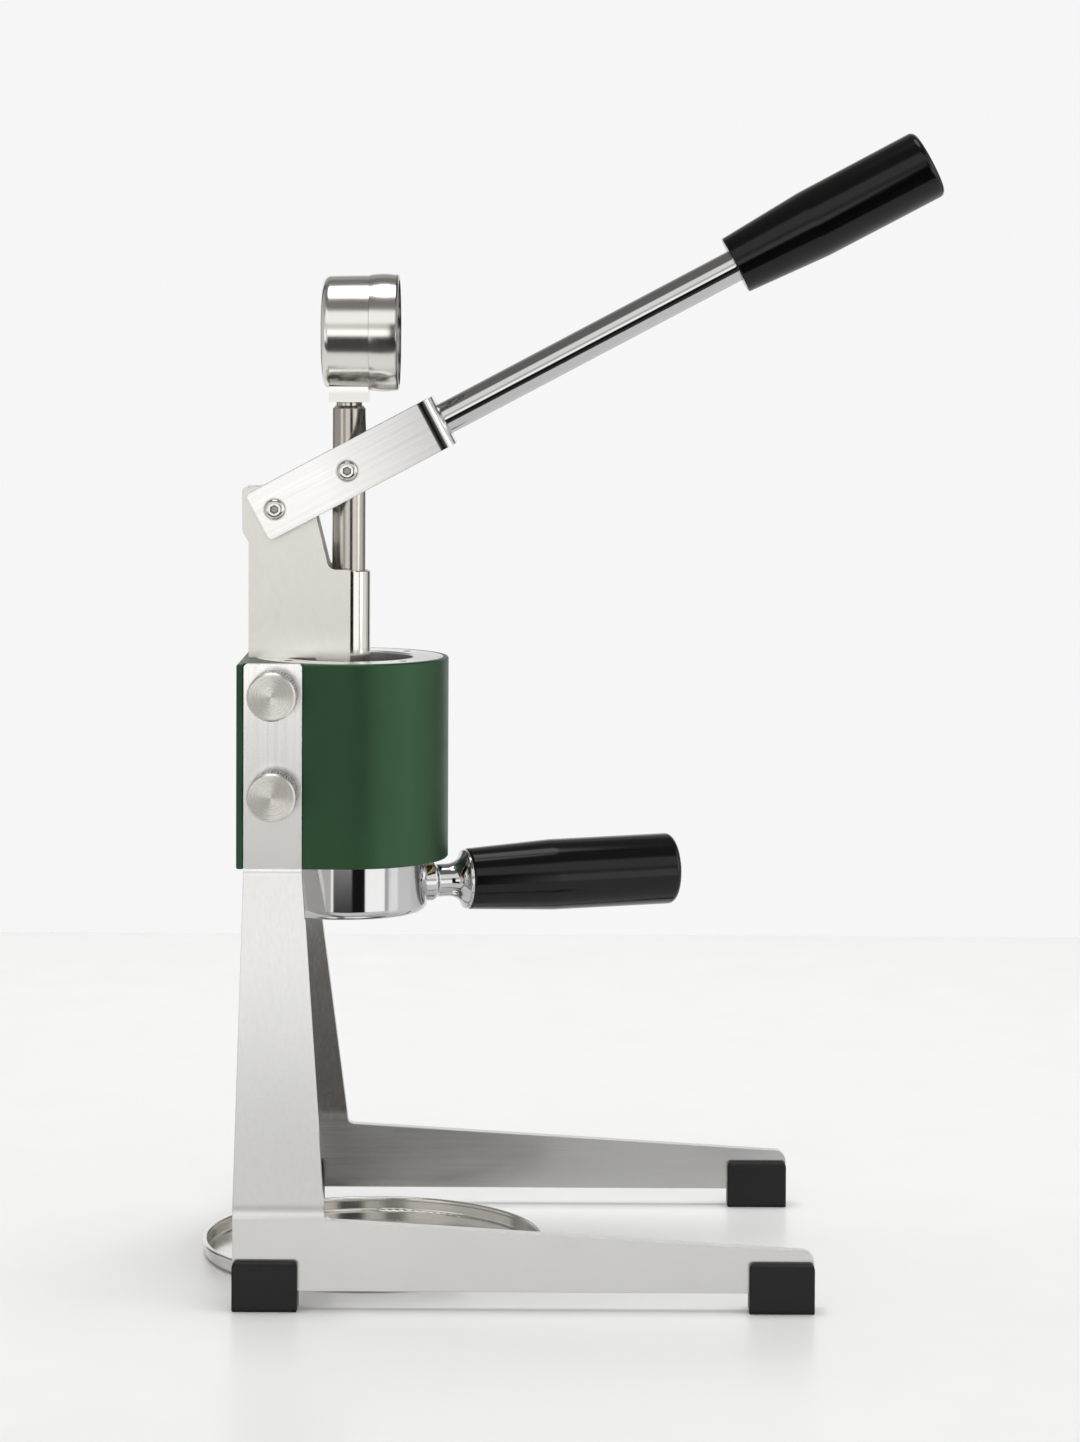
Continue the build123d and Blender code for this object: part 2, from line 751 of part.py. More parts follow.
gauge_axis = Axis((0, 0, gauge_height), (1, 0, 0))
gauge_side = Plane(origin=(0, 0, gauge_height), x_dir=(1, 0, 0), z_dir=(0, -1, 0))
with BuildPart() as gauge_case:
    with BuildSketch(gauge_side):
        with BuildLine():
            crown_start = case_back + case_round
            corner = Polyline(
                (case_front, case_radius),
                (case_front, 0),
                (case_back, 0),
                (case_back, case_radius - case_round),
            )
            end_round = RadiusArc(corner @ 1, (crown_start, case_radius - case_crown), case_round)
            side_crown = ThreePointArc(
                end_round @ 1,
                ((crown_start + bezel_back) / 2, case_radius - case_crown / 4),
                (bezel_back, case_radius),
            )
            Line(side_crown @ 1, (case_front, case_radius))
        make_face()
    revolve(axis=gauge_axis)
    with BuildSketch(Plane.YZ.offset(case_back + case_wall)):
        with Locations((0, gauge_height)):
            Circle(case_radius - case_wall)
    extrude(amount=case_front - case_back, mode=Mode.SUBTRACT)
save("gauge_case", gauge_case)

with BuildPart() as gauge_bezel:
    with BuildSketch(gauge_side):
        with BuildLine():
            crown_end = bezel_front - bezel_round
            glass_front = case_front + glass_thickness
            side_crown = ThreePointArc(
                (bezel_back, bezel_radius - bezel_crown),
                ((bezel_back + crown_end) / 2, bezel_radius),
                (crown_end, bezel_radius - bezel_crown),
            )
            end_round = RadiusArc(
                side_crown @ 1, (bezel_front, bezel_radius - bezel_crown - bezel_round), bezel_round
            )
            Polyline(
                end_round @ 1,
                (bezel_front, case_radius - bezel_lip),
                (glass_front, case_radius - bezel_lip),
                (glass_front, case_radius),
                (bezel_back, case_radius),
                side_crown @ 0,
            )
        make_face()
    revolve(axis=gauge_axis)
save("gauge_bezel", gauge_bezel)

with BuildPart() as gauge_glass:
    with BuildSketch(Plane.YZ.offset(case_front)):
        with Locations((0, gauge_height)):
            Circle(case_radius - glass_gap)
    extrude(amount=glass_thickness)
save("gauge_glass", gauge_glass)

with BuildPart() as gauge_dial:
    with BuildSketch(Plane.YZ.offset(dial_x)):
        with Locations((0, gauge_height)):
            Circle(case_radius - case_wall)
            Circle(2 * spindle_radius, mode=Mode.SUBTRACT)
    extrude(amount=-dial_thickness)
save("gauge_dial", gauge_dial)

with BuildPart() as gauge_movement:
    with BuildSketch(Plane.YZ.offset(case_back + case_wall)):
        with Locations((0, gauge_height)):
            Circle(movement_radius)
    extrude(amount=dial_x - dial_thickness - case_back - case_wall)
    with BuildSketch(Plane.YZ.offset(dial_x - dial_thickness)):
        with Locations((0, gauge_height)):
            Circle(spindle_radius)
    extrude(amount=pointer_x + pointer_thickness + spindle_past - dial_x + dial_thickness)
save("gauge_movement", gauge_movement)

with BuildPart() as gauge_pointer:
    with BuildSketch(Plane.YZ.offset(pointer_x)):
        with Locations((0, gauge_height)):
            Circle(pointer_hub)
            Polygon(
                (-pointer_tail, -pointer_tail_width / 2),
                (pointer_length, -pointer_tip_width / 2),
                (pointer_length, pointer_tip_width / 2),
                (-pointer_tail, pointer_tail_width / 2),
                rotation=pointer_rest,
                align=None,
            )
            Circle(spindle_radius + spindle_clearance, mode=Mode.SUBTRACT)
    extrude(amount=pointer_thickness)
save("gauge_pointer", gauge_pointer)

# ---- lever: a U-bent fork, its rod, nut and grip ----
with BuildPart() as fork:
    arm_mid = fork_inner + fork_sheet / 2
    web_mid = fork_front - fork_sheet / 2
    with BuildSketch(lever_plane):
        with BuildLine():
            FilletPolyline(
                (-fork_rear, -arm_mid),
                (web_mid, -arm_mid),
                (web_mid, arm_mid),
                (-fork_rear, arm_mid),
                radius=fork_bend,
            )
        trace(line_width=fork_sheet)
    extrude(amount=fork_width / 2, both=True)
    with BuildSketch(lever_side):
        with BuildLine():
            FilletPolyline(
                (fork_front + cut_past, fork_width / 2),
                (-fork_rear, fork_width / 2),
                (-fork_rear, -fork_width / 2),
                (fork_front + cut_past, -fork_width / 2),
                radius=fork_corner,
            )
            Line((fork_front + cut_past, -fork_width / 2), (fork_front + cut_past, fork_width / 2))
        make_face()
        with Locations((0, 0), (-pin_span, 0)):
            Circle(cap_shank, mode=Mode.SUBTRACT)
    extrude(amount=fork_inner + 2 * fork_sheet, both=True, mode=Mode.INTERSECT)
    with BuildSketch(Plane(origin=lever_plane.origin, x_dir=(0, 1, 0), z_dir=lever_plane.x_dir)):
        Circle(lever_stud_radius)
    extrude(amount=fork_front + cut_past, mode=Mode.SUBTRACT)
save("lever_fork", fork)

lever_stud_start = fork_front - fork_sheet - lever_nut_height - lever_stud_past
with BuildPart() as lever_rod:
    with BuildSketch(lever_side):
        with BuildLine():
            Polyline(
                (lever_stud_start, 0),
                (lever_stud_start, lever_stud_radius),
                (fork_front, lever_stud_radius),
                (fork_front, lever_rod_radius),
                (grip_start, lever_rod_radius),
                (grip_start, lever_stud_radius),
                (grip_start + grip_bore_depth - grip_stud_gap, lever_stud_radius),
                (grip_start + grip_bore_depth - grip_stud_gap, 0),
                close=True,
            )
        make_face()
    revolve(axis=lever_axis)
save("lever_rod", lever_rod)

nut_plane = Plane(
    origin=lever_side.from_local_coords((fork_front - fork_sheet, 0, 0)),
    x_dir=(0, 1, 0),
    z_dir=lever_plane.x_dir,
)
with BuildPart() as lever_nut:
    with BuildSketch(nut_plane):
        RegularPolygon(lever_nut_flats / 2, 6, major_radius=False)
        Circle(lever_stud_radius, mode=Mode.SUBTRACT)
    extrude(amount=-lever_nut_height)
save("lever_nut", lever_nut)

save("lever_grip", grip(lever_side, lever_axis, grip_start, grip_start_radius, lever_grip_radius))

# ---- pins: short trunnions at the rod, a full pin at the bracket, all clamped to the arms ----
for side_name, side in SIDES.items():
    with BuildPart() as trunnion:
        with BuildSketch(Plane.XZ.offset(-side * trunnion_inner)):
            with Locations((0, pivot_height)):
                Circle(pin_radius)
        extrude(amount=-side * (fork_inner - trunnion_inner))
        with BuildSketch(Plane.XZ.offset(-side * fork_inner)):
            with Locations((0, pivot_height)):
                Circle(cap_shank)
        extrude(amount=side * cap_shank_length, mode=Mode.SUBTRACT)
    save("pivot_trunnion_" + side_name, trunnion)
    with BuildPart() as sleeve:
        with BuildSketch(Plane.XZ.offset(-side * (rod_radius + 2 * side_gap))):
            with Locations((0, pivot_height)):
                Circle(sleeve_radius)
                Circle(pin_radius, mode=Mode.SUBTRACT)
        extrude(amount=-side * (fork_inner - rod_radius - 2 * side_gap))
    save("pivot_sleeve_" + side_name, sleeve)
    with BuildPart() as washer:
        with BuildSketch(Plane.XZ.offset(-side * (tube_radius + plate + side_gap))):
            with Locations((rear_pin_x, rear_pin_z)):
                Circle(washer_radius)
                Circle(pin_radius, mode=Mode.SUBTRACT)
        extrude(amount=-side * (fork_inner - tube_radius - plate - side_gap))
    save("rear_washer_" + side_name, washer)
    save("pivot_screw_" + side_name, cap_screw(side, 0))
    save("rear_screw_" + side_name, cap_screw(side, -pin_span))

with BuildPart() as rear_pin:
    with BuildSketch(Plane.XZ):
        with Locations((rear_pin_x, rear_pin_z)):
            Circle(pin_radius)
    extrude(amount=fork_inner, both=True)
    for side in SIDES.values():
        with BuildSketch(Plane.XZ.offset(-side * fork_inner)):
            with Locations((rear_pin_x, rear_pin_z)):
                Circle(cap_shank)
        extrude(amount=side * cap_shank_length, mode=Mode.SUBTRACT)
save("rear_pin", rear_pin)

# ---- portafilter: an open-bottomed cup with two bayonet lugs, neck, ferrule and grip ----
with BuildPart() as pour_cup:
    with BuildSketch(Plane.XZ):
        with BuildLine():
            Polyline(
                (spout_radius, cup_bottom),
                (cup_radius, cup_bottom),
                (cup_radius, cup_top),
                (cup_radius - cup_wall, cup_top),
                (cup_radius - cup_wall, cup_bottom + cup_floor),
                (spout_radius, cup_bottom + cup_floor),
                close=True,
            )
        make_face()
        fillet(vertices().group_by(Axis.Y)[0].sort_by(Axis.X)[-1], cup_round)
    revolve(axis=Axis.Z)
    with BuildSketch(Plane.XY.offset(lug_bottom)):
        Circle(lug_radius)
        Rectangle(2 * lug_radius, lug_width, rotation=lug_angle, mode=Mode.INTERSECT)
        Circle(cup_radius - cup_wall / 2, mode=Mode.SUBTRACT)
    extrude(amount=lug_height)
save("portafilter_cup", pour_cup)

with BuildPart() as basket:
    with BuildSketch(Plane.XZ):
        with BuildLine():
            Polyline(
                (0, basket_bottom),
                (basket_bottom_radius, basket_bottom),
                (basket_top_radius, cup_top),
                (cup_radius - turn_clearance, cup_top),
                (cup_radius - turn_clearance, cup_top + basket_rim),
                (basket_top_radius - basket_wall, cup_top + basket_rim),
                (basket_bottom_radius - basket_wall, basket_bottom + basket_wall),
                (0, basket_bottom + basket_wall),
                close=True,
            )
        make_face()
    revolve(axis=Axis.Z)
    with BuildSketch(Plane.XY.offset(basket_bottom)):
        for ring_number in range(1, 7):
            with PolarLocations(basket_hole_pitch * ring_number, basket_hole_count * ring_number):
                Circle(basket_hole_radius)
    extrude(amount=basket_wall, mode=Mode.SUBTRACT)
save("filter_basket", basket)

with BuildPart() as basket_spring:
    with BuildSketch(Plane.XZ):
        with Locations((cup_radius - cup_wall - spring_radius, cup_top - spring_drop)):
            Circle(spring_radius)
    revolve(axis=Axis.Z)
save("basket_spring", basket_spring)

with BuildPart() as pour_neck:
    with BuildSketch(pour_side):
        with BuildLine():
            boss = FilletPolyline(
                (cup_radius - cup_wall, neck_boss_radius),
                (neck_boss_end, neck_boss_radius),
                (neck_stem_start, neck_stem_radius),
                (neck_stem_end, neck_stem_radius),
                radius=[neck_boss_round, neck_stem_round],
            )
            flare = TangentArc(
                boss @ 1, (ferrule_start, ferrule_radius - ferrule_step), tangent=(1, 0)
            )
            Polyline(
                flare @ 1,
                (ferrule_start, lever_stud_radius),
                (pour_grip_start + grip_bore_depth - grip_stud_gap, lever_stud_radius),
                (pour_grip_start + grip_bore_depth - grip_stud_gap, 0),
                (cup_radius - cup_wall, 0),
                (cup_radius - cup_wall, neck_boss_radius),
            )
        make_face()
    revolve(axis=pour_axis)
    with BuildSketch(Plane.XY.offset(cup_bottom)):
        Circle(cup_radius)
    extrude(amount=body_height, mode=Mode.SUBTRACT)
save("portafilter_neck", pour_neck)

with BuildPart() as ferrule:
    with BuildSketch(pour_side):
        with BuildLine():
            Polyline(
                (ferrule_start, lever_stud_radius),
                (ferrule_start, ferrule_radius),
                (ferrule_start + ferrule_width, ferrule_radius),
                (ferrule_start + ferrule_width, lever_stud_radius),
                close=True,
            )
        make_face()
        fillet(vertices().group_by(Axis.Y)[-1], ferrule_round)
    revolve(axis=pour_axis)
save("portafilter_ferrule", ferrule)

save(
    "portafilter_grip",
    grip(pour_side, pour_axis, pour_grip_start, pour_grip_start_radius, pour_grip_radius),
)

# ---- drip tray: a shallow round dish with a beaded rim ----
with BuildPart() as drip_tray:
    with BuildSketch(Plane.XZ):
        with BuildLine():
            Polyline(
                (0, 0),
                (tray_wall_radius, 0),
                (tray_wall_radius, tray_height - tray_bead),
                (tray_wall_radius - tray_sheet, tray_height - tray_bead),
                (tray_wall_radius - tray_sheet, tray_sheet),
                (0, tray_sheet),
                close=True,
            )
        make_face()
        fillet(vertices().group_by(Axis.Y)[0].sort_by(Axis.X)[-1], tray_corner)
        fillet(vertices().group_by(Axis.Y)[1].sort_by(Axis.X)[-1], tray_corner - tray_sheet)
        with Locations((tray_wall_radius, tray_height - tray_bead)):
            Circle(tray_bead)
    revolve(axis=Axis.Z)
drip_tray.part.locate(Location((tray_x, tray_y, 0)))
save("drip_tray", drip_tray)
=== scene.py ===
import json
import math

import bpy
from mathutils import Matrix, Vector


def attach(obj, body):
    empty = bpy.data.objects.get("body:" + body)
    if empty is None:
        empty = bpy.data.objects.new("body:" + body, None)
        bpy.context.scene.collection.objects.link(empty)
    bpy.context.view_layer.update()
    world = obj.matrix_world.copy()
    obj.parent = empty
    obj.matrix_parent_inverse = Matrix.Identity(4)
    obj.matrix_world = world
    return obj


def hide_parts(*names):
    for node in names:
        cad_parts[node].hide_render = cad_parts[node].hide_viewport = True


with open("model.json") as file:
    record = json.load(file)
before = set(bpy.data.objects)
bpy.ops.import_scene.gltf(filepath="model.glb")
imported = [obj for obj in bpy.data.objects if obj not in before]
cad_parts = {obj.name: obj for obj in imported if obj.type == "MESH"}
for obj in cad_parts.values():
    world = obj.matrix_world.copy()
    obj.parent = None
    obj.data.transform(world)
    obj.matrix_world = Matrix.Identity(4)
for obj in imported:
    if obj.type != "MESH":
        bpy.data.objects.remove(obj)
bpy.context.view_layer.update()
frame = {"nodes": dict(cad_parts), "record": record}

nodes = frame["nodes"]
scene = bpy.context.scene

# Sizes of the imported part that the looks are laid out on, in metres.
LEVER_ANGLE = math.radians(28.1)
POUR_ANGLE = math.radians(17.7)
LEVER_PIVOT = (0, 0, 0.2906)
POUR_CENTRE = (0, 0, 0.1369)
SCREW_X, SCREW_LOW, SCREW_PITCH = -0.0251, 0.1752, 0.036
TRAY_CENTRE = (0.0093, 0.0035, 0)
GAUGE_Z = 0.34106
DIAL_FACE = 0.0096
POINTER_START = 225.0
POINTER_SWEEP = 270.0


# ---------------------------------------------------------------- materials
class Surface:
    """A node material: its shader, and short calls that add procedural detail to it."""

    def __init__(self, name, colour, metallic, roughness):
        self.material = bpy.data.materials.new(name)
        self.material.use_nodes = True
        self.tree = self.material.node_tree
        self.shader = self.tree.nodes["Principled BSDF"]
        self.set(Base_Color=(*colour, 1), Metallic=metallic, Roughness=roughness)
        self.colour = colour
        self.here = self.add("ShaderNodeTexCoord").outputs["Object"]
        self.normal = None

    def add(self, kind, **settings):
        node = self.tree.nodes.new(kind)
        for name, value in settings.items():
            setattr(node, name, value)
        return node

    def set(self, **values):
        for name, value in values.items():
            self.shader.inputs[name.replace("_", " ")].default_value = value

    def join(self, source, target):
        self.tree.links.new(source, target)

    def place(self, move=(0, 0, 0), turn=(0, 0, 0), stretch=(1, 1, 1), start=None):
        """Coordinates moved, turned and stretched, so that a pattern can follow a part."""
        at = start or self.here
        moved_by = [-c for c in move]
        for setting, value in (("Location", moved_by), ("Rotation", turn), ("Scale", stretch)):
            made = self.add("ShaderNodeMapping")
            made.inputs[setting].default_value = value
            self.join(at, made.inputs["Vector"])
            at = made.outputs[0]
        return at

    def noise(self, scale, start=None, detail=3.0, rough=0.5, distort=0.0):
        made = self.add("ShaderNodeTexNoise")
        made.inputs["Scale"].default_value = scale
        made.inputs["Detail"].default_value = detail
        made.inputs["Roughness"].default_value = rough
        made.inputs["Distortion"].default_value = distort
        self.join(start or self.here, made.inputs["Vector"])
        return made.outputs["Fac"]

    def math(self, operation, *values):
        made = self.add("ShaderNodeMath", operation=operation)
        for socket, value in zip(made.inputs, values):
            if isinstance(value, (int, float)):
                socket.default_value = value
            else:
                self.join(value, socket)
        return made.outputs[0]

    def part(self, vector, axis):
        split = self.add("ShaderNodeSeparateXYZ")
        self.join(vector, split.inputs[0])
        return split.outputs[axis]

    def radius(self, a, b):
        squares = self.math("MULTIPLY", a, a), self.math("MULTIPLY", b, b)
        return self.math("SQRT", self.math("ADD", *squares))

    def span(self, value, low, high, start=0.0, end=1.0, smooth=False):
        made = self.add("ShaderNodeMapRange")
        if smooth:
            made.interpolation_type = "SMOOTHSTEP"
        ends = (("From Min", start), ("From Max", end), ("To Min", low), ("To Max", high))
        for name, number in ends:
            made.inputs[name].default_value = number
        self.join(value, made.inputs["Value"])
        return made.outputs[0]

    def tint(self, value, *stops):
        """Colours the surface by value; a stop's shade is a colour, or a share of its own."""
        ramp = self.add("ShaderNodeValToRGB")
        elements = ramp.color_ramp.elements
        while len(elements) < len(stops):
            elements.new(0.5)
        for element, (spot, shade) in zip(elements, stops):
            if not isinstance(shade, tuple):
                shade = tuple(c * shade for c in self.colour)
            element.position, element.color = spot, (*shade, 1)
        self.join(value, ramp.inputs["Fac"])
        self.join(ramp.outputs["Color"], self.shader.inputs["Base Color"])

    def shade(self, share):
        """Multiplies the colour by a share."""
        target = self.shader.inputs["Base Color"]
        made = self.add("ShaderNodeMix", data_type="RGBA", blend_type="MULTIPLY")
        made.inputs[0].default_value = 1.0
        self.join(target.links[0].from_socket, made.inputs[6])
        self.join(share, made.inputs[7])
        self.join(made.outputs[2], target)

    def hollows(self, reach, low):
        """Darkens sockets, seams and gaps about as wide as the reach, as painted shade."""
        found = self.add("ShaderNodeAmbientOcclusion", samples=8)
        found.inputs["Distance"].default_value = reach
        self.shade(self.span(found.outputs["AO"], low, 1.0, 0.4, 0.85))

    def gloss(self, value, low, high, start=0.3, end=0.7):
        self.join(self.span(value, low, high, start, end), self.shader.inputs["Roughness"])

    def shape(self, normal):
        self.normal = normal
        self.join(normal, self.shader.inputs["Normal"])

    def bump(self, height, strength, distance):
        made = self.add("ShaderNodeBump")
        made.inputs["Strength"].default_value = strength
        made.inputs["Distance"].default_value = distance
        self.join(height, made.inputs["Height"])
        if self.normal:
            self.join(self.normal, made.inputs["Normal"])
        self.shape(made.outputs["Normal"])

    def rounded(self, radius):
        """Edges that catch the light as if broken by this radius."""
        made = self.add("ShaderNodeBevel", samples=4)
        made.inputs["Radius"].default_value = radius
        self.shape(made.outputs["Normal"])


def brushed(name, colour, roughness, along, turn=(0, 0, 0), edge=0.0004, depth=0.00002, cloud=14.0):
    """Satin metal with fine grain lines along one axis, faint clouds and broken edges."""
    made = Surface(name, colour, 1.0, roughness)
    made.rounded(edge)
    stretch = [1100.0, 1100.0, 1100.0]
    stretch[along] = 14.0
    grain = made.noise(1.0, made.place(turn=turn, stretch=stretch), detail=4.0, rough=0.65)
    clouds = made.noise(cloud, detail=4.0, distort=0.6)
    made.tint(clouds, (0.3, 0.94), (0.7, 1.0))
    worn = made.math("ADD", made.math("MULTIPLY", grain, 0.6), made.math("MULTIPLY", clouds, 0.4))
    made.gloss(worn, roughness * 0.85, roughness * 1.18, 0.35, 0.65)
    made.bump(grain, 0.35, depth)
    return made


def polished(name, colour, roughness, smudge=0.06, edge=None, uneven=0.02):
    """Bright metal with wiping marks in its gloss and a slight unevenness."""
    made = Surface(name, colour, 1.0, roughness)
    if edge:
        made.rounded(edge)
    clouds = made.noise(45.0, detail=5.0, rough=0.6, distort=0.8)
    made.tint(clouds, (0.3, 0.95), (0.7, 1.0))
    made.gloss(clouds, roughness, roughness + smudge, 0.4, 0.8)
    if uneven:
        made.bump(made.noise(160.0, detail=1.0), uneven, 0.0002)
    return made


def turned(name, colour, roughness, centre, axis, pitch=0.0004, depth=0.00002, repeat=None, edge=0.0003):
    """Lathe-turned metal: fine rings round an axis; repeat is a step in Z between like parts."""
    made = Surface(name, colour, 1.0, roughness)
    made.rounded(edge)
    local = made.place(move=centre)
    a, b = (made.part(local, k) for k in range(3) if k != axis)
    if repeat:
        b = made.math("WRAP", b, repeat / 2, -repeat / 2)
    distance = made.radius(a, b)
    waves = made.math("SINE", made.math("MULTIPLY", distance, 2 * math.pi / pitch))
    flat = made.add("ShaderNodeCombineXYZ")
    made.join(distance, flat.inputs[0])
    uneven = made.noise(2.0 / pitch, flat.outputs[0], detail=3.0)
    marks = made.math("ADD", made.math("MULTIPLY", waves, 0.25), uneven)
    made.tint(made.noise(60.0, detail=4.0), (0.3, 0.92), (0.7, 1.0))
    made.gloss(uneven, roughness * 0.8, roughness * 1.25)
    made.bump(marks, 0.5, depth)
    around = made.add("ShaderNodeTangent", direction_type="RADIAL", axis="XYZ"[axis])
    made.join(around.outputs[0], made.shader.inputs["Tangent"])
    made.set(Anisotropic=0.75)
    return made


def moulded(name, colour, roughness, grain=0.0, scale=2500.0, edge=None):
    """Rubber, plastic or Bakelite: a dark or plain body with a fine grain and rub marks."""
    made = Surface(name, colour, 0.0, roughness)
    if edge:
        made.rounded(edge)
    rubs = made.noise(70.0, detail=5.0, rough=0.65)
    made.tint(rubs, (0.35, 0.85), (0.7, 1.2))
    made.gloss(rubs, roughness * 0.9, roughness * 1.15)
    if grain:
        made.bump(made.noise(scale, detail=2.0), grain, 0.00005)
    return made


MATERIALS = {}


def keep(slot, surface):
    MATERIALS[slot] = surface
    return surface


STEEL = (0.78, 0.775, 0.76)
lever_turn = (0, LEVER_ANGLE, 0)
FORK_BEND = 0.0351
FORK_FADE = (-0.01, 0.036)
WEDGE_ANGLE = math.radians(125)
KNURL_RIDGES = 64.0

BEND_LOW, BEND_HIGH = 0.030, 0.036
SHANK_FADE = (0.045, 0.135)
TAB_FADE = (0.195, 0.222)

# The legs' grain runs down the shank and turns along the foot bar below its bend.
legs = keep("brushed_sheet", Surface("brushed_sheet", STEEL, 1.0, 0.36))
legs.rounded(0.0005)
height = legs.part(legs.here, 2)
down = legs.noise(1.0, legs.place(stretch=(1100, 1100, 14)), detail=4.0, rough=0.65)
across = legs.noise(1.0, legs.place(stretch=(14, 1100, 1100)), detail=4.0, rough=0.65)
bar_share = legs.span(height, 1.0, 0.0, BEND_LOW, BEND_HIGH, smooth=True)
grain = legs.math(
    "ADD",
    legs.math("MULTIPLY", across, bar_share),
    legs.math("MULTIPLY", down, legs.math("SUBTRACT", 1.0, bar_share)),
)
clouds = legs.noise(34.0, detail=5.0, distort=0.5)
legs.tint(clouds, (0.3, 0.96), (0.7, 1.0))
facing = legs.part(legs.add("ShaderNodeNewGeometry").outputs["True Normal"], 1)
outward = legs.math("MULTIPLY", facing, legs.math("SIGN", legs.part(legs.here, 1)))
# This shading is painted on, whatever the light: dimmer inside faces, a shank that fades towards
# its foot, and a brighter foot bar and tab top.
legs.shade(legs.span(outward, 0.78, 1.0, -0.5, 0.5))
legs.shade(legs.span(height, 0.71, 1.04, *SHANK_FADE, smooth=True))
legs.shade(legs.span(bar_share, 1.0, 1.22))
legs.shade(legs.span(height, 1.0, 1.22, *TAB_FADE, smooth=True))
legs.gloss(legs.math("ADD", grain, legs.math("MULTIPLY", clouds, 0.3)), 0.20, 0.27, 0.45, 0.85)
legs.bump(grain, 0.2, 0.000012)

rubber = keep("rubber", moulded("rubber", (0.0036, 0.0036, 0.0036), 0.40, grain=0.2, edge=0.0018))
rubber.set(Specular_IOR_Level=0.34)
screws = keep(
    "turned_steel",
    turned(
        "turned_steel",
        (0.76, 0.73, 0.69),
        0.28,
        (SCREW_X, 0, SCREW_LOW),
        1,
        repeat=SCREW_PITCH,
        depth=0.00003,
    ),
)
# Painted on as well: two opposite wedges of light on each turned face, and dark knurled sides.
around = screws.place(move=(SCREW_X, 0, SCREW_LOW))
rise = screws.math("WRAP", screws.part(around, 2), SCREW_PITCH / 2, -SCREW_PITCH / 2)
turn = screws.math("ARCTAN2", rise, screws.part(around, 0))
wedges = screws.math("COSINE", screws.math("MULTIPLY_ADD", turn, 2.0, -2 * WEDGE_ANGLE))
screws.shade(screws.span(wedges, 0.74, 1.2, -1.0, 1.0, smooth=True))
facing = screws.part(screws.add("ShaderNodeNewGeometry").outputs["True Normal"], 1)
ridges = screws.math("SINE", screws.math("MULTIPLY", turn, KNURL_RIDGES))
side = screws.span(screws.math("ABSOLUTE", facing), 1.0, 0.0, 0.3, 0.6)
knurl = screws.math("MULTIPLY", side, screws.span(ridges, 0.35, 0.9, -0.4, 0.4))
screws.shade(screws.span(knurl, 1.0, 0.0))

jacket = keep("green_jacket", Surface("green_jacket", (0.033, 0.086, 0.040), 0.75, 0.42))
jacket.rounded(0.0005)
jacket.tint(jacket.noise(22.0, detail=4.0), (0.3, 0.95), (0.7, 1.04))
jacket.gloss(jacket.noise(90.0, detail=5.0), 0.39, 0.45)
jacket.bump(jacket.noise(5200.0, detail=2.0), 0.12, 0.00003)

keep("cylinder_steel", turned("cylinder_steel", (0.30, 0.27, 0.235), 0.3, (0, 0, 0), 2))
keep("ring_steel", turned("ring_steel", (0.96, 0.955, 0.95), 0.3, (0, 0, 0), 2, depth=0.00001))
# Painted shade darkens the sockets and gaps of these screws.
keep("screw_steel", polished("screw_steel", (0.66, 0.64, 0.61), 0.14)).hollows(0.0022, 0.06)
keep("collar_brass", turned("collar_brass", (0.72, 0.55, 0.28), 0.3, (0, 0, 0), 2))
keep("seal_rubber", moulded("seal_rubber", (0.02, 0.02, 0.021), 0.5, grain=0.15))
keep("screen_steel", polished("screen_steel", (0.76, 0.75, 0.73), 0.2))

plates = keep("plate_steel", Surface("plate_steel", (0.95, 0.92, 0.875), 1.0, 0.36))
plates.rounded(0.0004)
stains = plates.noise(38.0, plates.place(stretch=(1.0, 1.0, 0.55)), detail=6.0, rough=0.6, distort=1.2)
plates.tint(stains, (0.3, 0.82), (0.5, 0.96), (0.7, 1.05))
plates.gloss(stains, 0.3, 0.42)
plates.bump(plates.noise(1800.0, detail=3.0), 0.12, 0.00003)

keep("polished_tube", polished("polished_tube", (0.66, 0.64, 0.60), 0.1))
keep("bush_plastic", moulded("bush_plastic", (0.62, 0.58, 0.48), 0.45))
keep("rod_steel", brushed("rod_steel", (0.44, 0.415, 0.38), 0.18, 2, cloud=30.0))
keep("piston_plastic", moulded("piston_plastic", (0.05, 0.05, 0.052), 0.4))
keep("pin_steel", polished("pin_steel", (0.70, 0.68, 0.64), 0.18))
keep("washer_plastic", moulded("washer_plastic", (0.66, 0.65, 0.60), 0.5))
gauge = keep("gauge_steel", polished("gauge_steel", (0.78, 0.76, 0.73), 0.16, smudge=0.04))
# Painted shade: darker sockets and gaps, a dark front lip on the bezel, and everything below the block's
# top painted darker.
gauge.hollows(0.0015, 0.25)
BLOCK_SHADE_SPAN = (GAUGE_Z - 0.0225, GAUGE_Z - 0.0205)
bezel_front = max(corner[0] for corner in nodes["gauge_bezel"].bound_box)
lip_shade_span = (bezel_front - 0.0011, bezel_front - 0.0005)
gauge.shade(gauge.span(gauge.part(gauge.here, 0), 1.0, 0.3, *lip_shade_span))
gauge.shade(gauge.span(gauge.part(gauge.here, 2), 0.78, 1.0, *BLOCK_SHADE_SPAN))
keep("gauge_brass", polished("gauge_brass", (0.66, 0.50, 0.27), 0.25))
keep("gauge_red", moulded("gauge_red", (0.42, 0.02, 0.015), 0.4))
fork = keep(
    "fork_steel",
    brushed("fork_steel", (0.82, 0.81, 0.80), 0.2, 0, turn=lever_turn, depth=0.000008),
)
